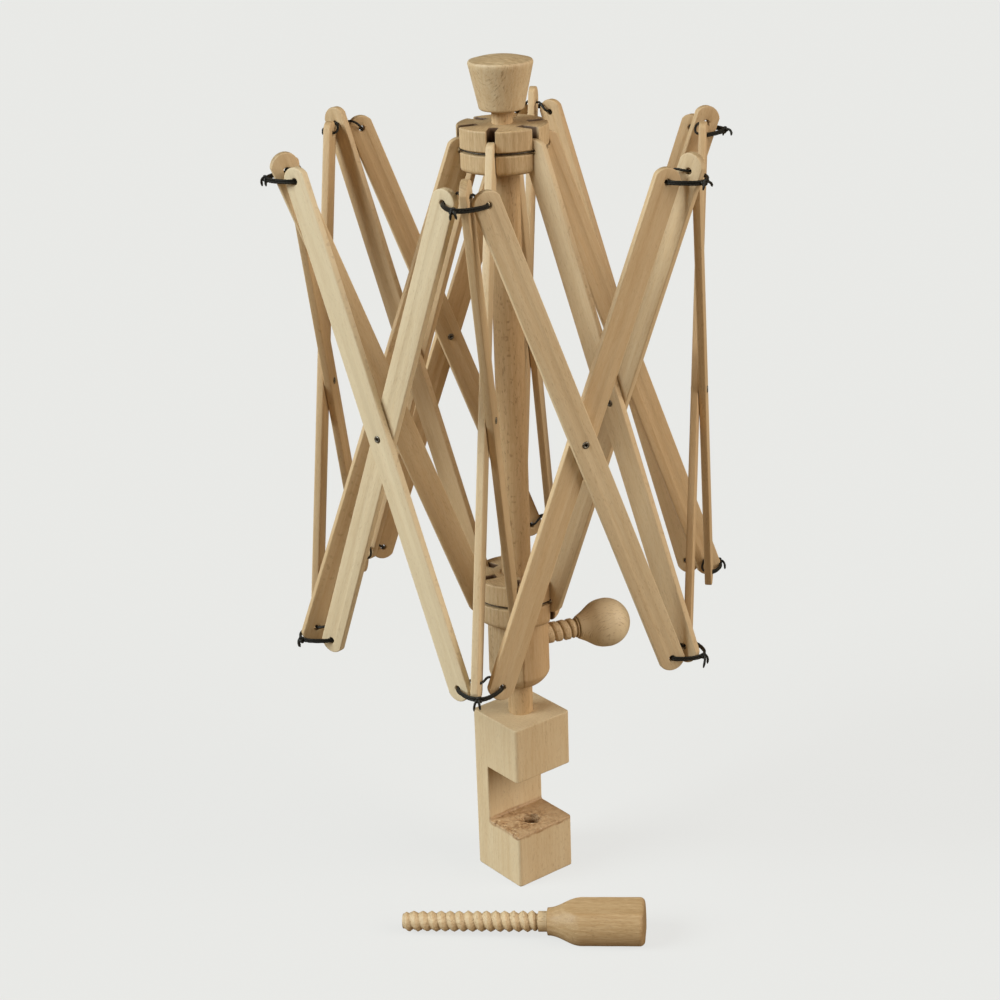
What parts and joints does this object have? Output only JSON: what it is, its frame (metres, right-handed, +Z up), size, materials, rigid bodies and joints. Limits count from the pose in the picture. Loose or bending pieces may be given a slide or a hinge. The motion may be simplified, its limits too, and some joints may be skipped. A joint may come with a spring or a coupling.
{
  "type": "umbrella swift yarn winder",
  "caption": "Wooden umbrella swift: a folding cage of riveted beech sticks tied with black cord turns on a spindle in a screw clamp block.",
  "frame": {"origin": "underside of the clamp block, on the spindle's axis", "axes": "+Z up along the spindle, -Y out of the clamp's mouth, +X to the right seen from the mouth"},
  "size_m": [0.3054, 0.3132, 0.6003],
  "materials": {
    "beech_block": "bare sanded beech, sawn and eased",
    "beech_turned": "bare turned beech",
    "beech_stick": "bare planed beech strip",
    "steel": "dull annealed wire and eyelets",
    "black_cord": "waxed black cord"
  },
  "bodies": {
    "base": {"clamp_block": "beech_block"},
    "spindle_body": {"spindle": "beech_turned", "top_knob": "beech_turned", "upper_hub": "beech_turned", "upper_ring_wire": "steel"},
    "upper_arm_1": {"upper_rib_1": "beech_stick", "rib_rivet_1": "steel"},
    "lower_arm_1": {"lower_rib_1": "beech_stick"},
    "top_tie_body_1": {"top_tie_1": "black_cord"},
    "bottom_tie_body_1": {"bottom_tie_1": "black_cord"},
    "upper_arm_2": {"upper_rib_2": "beech_stick", "rib_rivet_2": "steel"},
    "lower_arm_2": {"lower_rib_2": "beech_stick"},
    "top_tie_body_2": {"top_tie_2": "black_cord"},
    "bottom_tie_body_2": {"bottom_tie_2": "black_cord"},
    "upper_arm_3": {"upper_rib_3": "beech_stick", "rib_rivet_3": "steel"},
    "lower_arm_3": {"lower_rib_3": "beech_stick"},
    "top_tie_body_3": {"top_tie_3": "black_cord"},
    "bottom_tie_body_3": {"bottom_tie_3": "black_cord"},
    "upper_arm_4": {"upper_rib_4": "beech_stick", "rib_rivet_4": "steel"},
    "lower_arm_4": {"lower_rib_4": "beech_stick"},
    "top_tie_body_4": {"top_tie_4": "black_cord"},
    "bottom_tie_body_4": {"bottom_tie_4": "black_cord"},
    "upper_arm_5": {"upper_rib_5": "beech_stick", "rib_rivet_5": "steel"},
    "lower_arm_5": {"lower_rib_5": "beech_stick"},
    "top_tie_body_5": {"top_tie_5": "black_cord"},
    "bottom_tie_body_5": {"bottom_tie_5": "black_cord"},
    "upper_arm_6": {"upper_rib_6": "beech_stick", "rib_rivet_6": "steel"},
    "lower_arm_6": {"lower_rib_6": "beech_stick"},
    "top_tie_body_6": {"top_tie_6": "black_cord"},
    "bottom_tie_body_6": {"bottom_tie_6": "black_cord"},
    "outer_arm_1": {"outer_slat_1": "beech_stick", "slat_rivet_1": "steel"},
    "inner_arm_1": {"inner_slat_1": "beech_stick"},
    "outer_arm_2": {"outer_slat_2": "beech_stick", "slat_rivet_2": "steel"},
    "inner_arm_2": {"inner_slat_2": "beech_stick"},
    "outer_arm_3": {"outer_slat_3": "beech_stick", "slat_rivet_3": "steel"},
    "inner_arm_3": {"inner_slat_3": "beech_stick"},
    "outer_arm_4": {"outer_slat_4": "beech_stick", "slat_rivet_4": "steel"},
    "inner_arm_4": {"inner_slat_4": "beech_stick"},
    "outer_arm_5": {"outer_slat_5": "beech_stick", "slat_rivet_5": "steel"},
    "inner_arm_5": {"inner_slat_5": "beech_stick"},
    "outer_arm_6": {"outer_slat_6": "beech_stick", "slat_rivet_6": "steel"},
    "inner_arm_6": {"inner_slat_6": "beech_stick"},
    "lower_hub_body": {"lower_hub": "beech_turned", "lower_ring_wire": "steel"},
    "thumb_screw_body": {"thumb_screw_shank": "beech_turned"},
    "thumb_knob_body": {"thumb_screw_knob": "beech_turned"},
    "loose_clamp_screw": {"clamp_screw_shank": "beech_turned", "clamp_screw_head": "beech_turned"}
  },
  "joints": [
    {"name": "spin", "type": "hinge", "parent": "base", "child": "spindle_body", "pos_m": [0, 0, 0.156], "axis": [0, 0, 1], "continuous": true},
    {"name": "fold", "type": "hinge", "parent": "spindle_body", "child": "upper_arm_1", "pos_m": [-0.02155, -0.0194, 0.541], "axis": [-0.6691, 0.7431, 0], "range_deg": [-11.3, 41.7]},
    {"name": "rib_rivet_hinge_1", "type": "hinge", "parent": "upper_arm_1", "child": "lower_arm_1", "pos_m": [-0.06545, -0.05893, 0.38132], "axis": [0.6691, -0.7431, 0], "range_deg": [-22.6, 83.4]},
    {"name": "top_tie_hinge_1", "type": "hinge", "parent": "lower_arm_1", "child": "top_tie_body_1", "pos_m": [-0.10934, -0.09845, 0.541], "axis": [-0.6691, 0.7431, 0], "range_deg": [-11.3, 41.7]},
    {"name": "bottom_tie_hinge_1", "type": "hinge", "parent": "upper_arm_1", "child": "bottom_tie_body_1", "pos_m": [-0.10934, -0.09845, 0.22165], "axis": [0.6691, -0.7431, 0], "range_deg": [-11.3, 41.7]},
    {"name": "upper_rib_hinge_2", "type": "hinge", "parent": "spindle_body", "child": "upper_arm_2", "pos_m": [0.00603, -0.02837, 0.541], "axis": [-0.9781, -0.2079, 0], "range_deg": [-11.3, 41.7]},
    {"name": "rib_rivet_hinge_2", "type": "hinge", "parent": "upper_arm_2", "child": "lower_arm_2", "pos_m": [0.01831, -0.08614, 0.38132], "axis": [0.9781, 0.2079, 0], "range_deg": [-22.6, 83.4]},
    {"name": "top_tie_hinge_2", "type": "hinge", "parent": "lower_arm_2", "child": "top_tie_body_2", "pos_m": [0.03059, -0.14392, 0.541], "axis": [-0.9781, -0.2079, 0], "range_deg": [-11.3, 41.7]},
    {"name": "bottom_tie_hinge_2", "type": "hinge", "parent": "upper_arm_2", "child": "bottom_tie_body_2", "pos_m": [0.03059, -0.14392, 0.22165], "axis": [0.9781, 0.2079, 0], "range_deg": [-11.3, 41.7]},
    {"name": "upper_rib_hinge_3", "type": "hinge", "parent": "spindle_body", "child": "upper_arm_3", "pos_m": [0.02758, -0.00896, 0.541], "axis": [-0.309, -0.9511, 0], "range_deg": [-11.3, 41.7]},
    {"name": "rib_rivet_hinge_3", "type": "hinge", "parent": "upper_arm_3", "child": "lower_arm_3", "pos_m": [0.08376, -0.02721, 0.38132], "axis": [0.309, 0.9511, 0], "range_deg": [-22.6, 83.4]},
    {"name": "top_tie_hinge_3", "type": "hinge", "parent": "lower_arm_3", "child": "top_tie_body_3", "pos_m": [0.13993, -0.04547, 0.541], "axis": [-0.309, -0.9511, 0], "range_deg": [-11.3, 41.7]},
    {"name": "bottom_tie_hinge_3", "type": "hinge", "parent": "upper_arm_3", "child": "bottom_tie_body_3", "pos_m": [0.13993, -0.04547, 0.22165], "axis": [0.309, 0.9511, 0], "range_deg": [-11.3, 41.7]},
    {"name": "upper_rib_hinge_4", "type": "hinge", "parent": "spindle_body", "child": "upper_arm_4", "pos_m": [0.02155, 0.0194, 0.541], "axis": [0.6691, -0.7431, 0], "range_deg": [-11.3, 41.7]},
    {"name": "rib_rivet_hinge_4", "type": "hinge", "parent": "upper_arm_4", "child": "lower_arm_4", "pos_m": [0.06545, 0.05893, 0.38132], "axis": [-0.6691, 0.7431, 0], "range_deg": [-22.6, 83.4]},
    {"name": "top_tie_hinge_4", "type": "hinge", "parent": "lower_arm_4", "child": "top_tie_body_4", "pos_m": [0.10934, 0.09845, 0.541], "axis": [0.6691, -0.7431, 0], "range_deg": [-11.3, 41.7]},
    {"name": "bottom_tie_hinge_4", "type": "hinge", "parent": "upper_arm_4", "child": "bottom_tie_body_4", "pos_m": [0.10934, 0.09845, 0.22165], "axis": [-0.6691, 0.7431, 0], "range_deg": [-11.3, 41.7]},
    {"name": "upper_rib_hinge_5", "type": "hinge", "parent": "spindle_body", "child": "upper_arm_5", "pos_m": [-0.00603, 0.02837, 0.541], "axis": [0.9781, 0.2079, 0], "range_deg": [-11.3, 41.7]},
    {"name": "rib_rivet_hinge_5", "type": "hinge", "parent": "upper_arm_5", "child": "lower_arm_5", "pos_m": [-0.01831, 0.08614, 0.38132], "axis": [-0.9781, -0.2079, 0], "range_deg": [-22.6, 83.4]},
    {"name": "top_tie_hinge_5", "type": "hinge", "parent": "lower_arm_5", "child": "top_tie_body_5", "pos_m": [-0.03059, 0.14392, 0.541], "axis": [0.9781, 0.2079, 0], "range_deg": [-11.3, 41.7]},
    {"name": "bottom_tie_hinge_5", "type": "hinge", "parent": "upper_arm_5", "child": "bottom_tie_body_5", "pos_m": [-0.03059, 0.14392, 0.22165], "axis": [-0.9781, -0.2079, 0], "range_deg": [-11.3, 41.7]},
    {"name": "upper_rib_hinge_6", "type": "hinge", "parent": "spindle_body", "child": "upper_arm_6", "pos_m": [-0.02758, 0.00896, 0.541], "axis": [0.309, 0.9511, 0], "range_deg": [-11.3, 41.7]},
    {"name": "rib_rivet_hinge_6", "type": "hinge", "parent": "upper_arm_6", "child": "lower_arm_6", "pos_m": [-0.08376, 0.02721, 0.38132], "axis": [-0.309, -0.9511, 0], "range_deg": [-22.6, 83.4]},
    {"name": "top_tie_hinge_6", "type": "hinge", "parent": "lower_arm_6", "child": "top_tie_body_6", "pos_m": [-0.13993, 0.04547, 0.541], "axis": [0.309, 0.9511, 0], "range_deg": [-11.3, 41.7]},
    {"name": "bottom_tie_hinge_6", "type": "hinge", "parent": "upper_arm_6", "child": "bottom_tie_body_6", "pos_m": [-0.13993, 0.04547, 0.22165], "axis": [-0.309, -0.9511, 0], "range_deg": [-11.3, 41.7]},
    {"name": "outer_slat_hinge_1", "type": "hinge", "parent": "top_tie_body_1", "child": "outer_arm_1", "pos_m": [-0.09683, -0.10688, 0.536], "axis": [-0.309, -0.9511, 0], "range_deg": [-11.3, 41.7]},
    {"name": "inner_slat_hinge_1", "type": "hinge", "parent": "top_tie_body_2", "child": "inner_arm_1", "pos_m": [0.01716, -0.13834, 0.536], "axis": [0.309, 0.9511, 0], "range_deg": [-11.3, 41.7]},
    {"name": "outer_slat_hinge_2", "type": "hinge", "parent": "top_tie_body_2", "child": "outer_arm_2", "pos_m": [0.04414, -0.1373, 0.536], "axis": [0.6691, -0.7431, 0], "range_deg": [-11.3, 41.7]},
    {"name": "inner_slat_hinge_2", "type": "hinge", "parent": "top_tie_body_3", "child": "inner_arm_2", "pos_m": [0.12838, -0.05431, 0.536], "axis": [-0.6691, 0.7431, 0], "range_deg": [-11.3, 41.7]},
    {"name": "outer_slat_hinge_3", "type": "hinge", "parent": "top_tie_body_3", "child": "outer_arm_3", "pos_m": [0.14097, -0.03042, 0.536], "axis": [0.9781, 0.2079, 0], "range_deg": [-11.3, 41.7]},
    {"name": "inner_slat_hinge_3", "type": "hinge", "parent": "top_tie_body_4", "child": "inner_arm_3", "pos_m": [0.11123, 0.08403, 0.536], "axis": [-0.9781, -0.2079, 0], "range_deg": [-11.3, 41.7]},
    {"name": "outer_slat_hinge_4", "type": "hinge", "parent": "top_tie_body_4", "child": "outer_arm_4", "pos_m": [0.09683, 0.10688, 0.536], "axis": [0.309, 0.9511, 0], "range_deg": [-11.3, 41.7]},
    {"name": "inner_slat_hinge_4", "type": "hinge", "parent": "top_tie_body_5", "child": "inner_arm_4", "pos_m": [-0.01716, 0.13834, 0.536], "axis": [-0.309, -0.9511, 0], "range_deg": [-11.3, 41.7]},
    {"name": "outer_slat_hinge_5", "type": "hinge", "parent": "top_tie_body_5", "child": "outer_arm_5", "pos_m": [-0.04414, 0.1373, 0.536], "axis": [-0.6691, 0.7431, 0], "range_deg": [-11.3, 41.7]},
    {"name": "inner_slat_hinge_5", "type": "hinge", "parent": "top_tie_body_6", "child": "inner_arm_5", "pos_m": [-0.12838, 0.05431, 0.536], "axis": [0.6691, -0.7431, 0], "range_deg": [-11.3, 41.7]},
    {"name": "outer_slat_hinge_6", "type": "hinge", "parent": "top_tie_body_6", "child": "outer_arm_6", "pos_m": [-0.14097, 0.03042, 0.536], "axis": [-0.9781, -0.2079, 0], "range_deg": [-11.3, 41.7]},
    {"name": "inner_slat_hinge_6", "type": "hinge", "parent": "top_tie_body_1", "child": "inner_arm_6", "pos_m": [-0.11123, -0.08403, 0.536], "axis": [0.9781, 0.2079, 0], "range_deg": [-11.3, 41.7]},
    {"name": "lower_hub_hinge", "type": "hinge", "parent": "lower_arm_1", "child": "lower_hub_body", "pos_m": [-0.02155, -0.0194, 0.22165], "axis": [-0.6691, 0.7431, 0], "range_deg": [-11.3, 41.7]},
    {"name": "thumb_screw_travel", "type": "slide", "parent": "lower_hub_body", "child": "thumb_screw_body", "axis": [0.9511, -0.309, 0], "range_m": [0, 0.006]},
    {"name": "thumb_screw_turn", "type": "hinge", "parent": "thumb_screw_body", "child": "thumb_knob_body", "pos_m": [0, 0, 0.185], "axis": [0.9511, -0.309, 0], "range_deg": [-333, 0]},
    {"name": "clamp_screw_lift", "type": "slide", "parent": "base", "child": "loose_clamp_screw", "axis": [0, 0, 1], "range_m": [0, 0.05]}
  ],
  "couplings": [
    {"joint": "rib_rivet_hinge_1", "follows": "fold", "ratio": 2},
    {"joint": "top_tie_hinge_1", "follows": "fold", "ratio": 1},
    {"joint": "bottom_tie_hinge_1", "follows": "fold", "ratio": 1},
    {"joint": "upper_rib_hinge_2", "follows": "fold", "ratio": 1},
    {"joint": "rib_rivet_hinge_2", "follows": "fold", "ratio": 2},
    {"joint": "top_tie_hinge_2", "follows": "fold", "ratio": 1},
    {"joint": "bottom_tie_hinge_2", "follows": "fold", "ratio": 1},
    {"joint": "upper_rib_hinge_3", "follows": "fold", "ratio": 1},
    {"joint": "rib_rivet_hinge_3", "follows": "fold", "ratio": 2},
    {"joint": "top_tie_hinge_3", "follows": "fold", "ratio": 1},
    {"joint": "bottom_tie_hinge_3", "follows": "fold", "ratio": 1},
    {"joint": "upper_rib_hinge_4", "follows": "fold", "ratio": 1},
    {"joint": "rib_rivet_hinge_4", "follows": "fold", "ratio": 2},
    {"joint": "top_tie_hinge_4", "follows": "fold", "ratio": 1},
    {"joint": "bottom_tie_hinge_4", "follows": "fold", "ratio": 1},
    {"joint": "upper_rib_hinge_5", "follows": "fold", "ratio": 1},
    {"joint": "rib_rivet_hinge_5", "follows": "fold", "ratio": 2},
    {"joint": "top_tie_hinge_5", "follows": "fold", "ratio": 1},
    {"joint": "bottom_tie_hinge_5", "follows": "fold", "ratio": 1},
    {"joint": "upper_rib_hinge_6", "follows": "fold", "ratio": 1},
    {"joint": "rib_rivet_hinge_6", "follows": "fold", "ratio": 2},
    {"joint": "top_tie_hinge_6", "follows": "fold", "ratio": 1},
    {"joint": "bottom_tie_hinge_6", "follows": "fold", "ratio": 1},
    {"joint": "outer_slat_hinge_1", "follows": "fold", "ratio": 1},
    {"joint": "inner_slat_hinge_1", "follows": "fold", "ratio": 1},
    {"joint": "outer_slat_hinge_2", "follows": "fold", "ratio": 1},
    {"joint": "inner_slat_hinge_2", "follows": "fold", "ratio": 1},
    {"joint": "outer_slat_hinge_3", "follows": "fold", "ratio": 1},
    {"joint": "inner_slat_hinge_3", "follows": "fold", "ratio": 1},
    {"joint": "outer_slat_hinge_4", "follows": "fold", "ratio": 1},
    {"joint": "inner_slat_hinge_4", "follows": "fold", "ratio": 1},
    {"joint": "outer_slat_hinge_5", "follows": "fold", "ratio": 1},
    {"joint": "inner_slat_hinge_5", "follows": "fold", "ratio": 1},
    {"joint": "outer_slat_hinge_6", "follows": "fold", "ratio": 1},
    {"joint": "inner_slat_hinge_6", "follows": "fold", "ratio": 1},
    {"joint": "lower_hub_hinge", "follows": "fold", "ratio": 1},
    {"joint": "thumb_screw_turn", "follows": "thumb_screw_travel", "rad_per_m": -966.64}
  ]
}
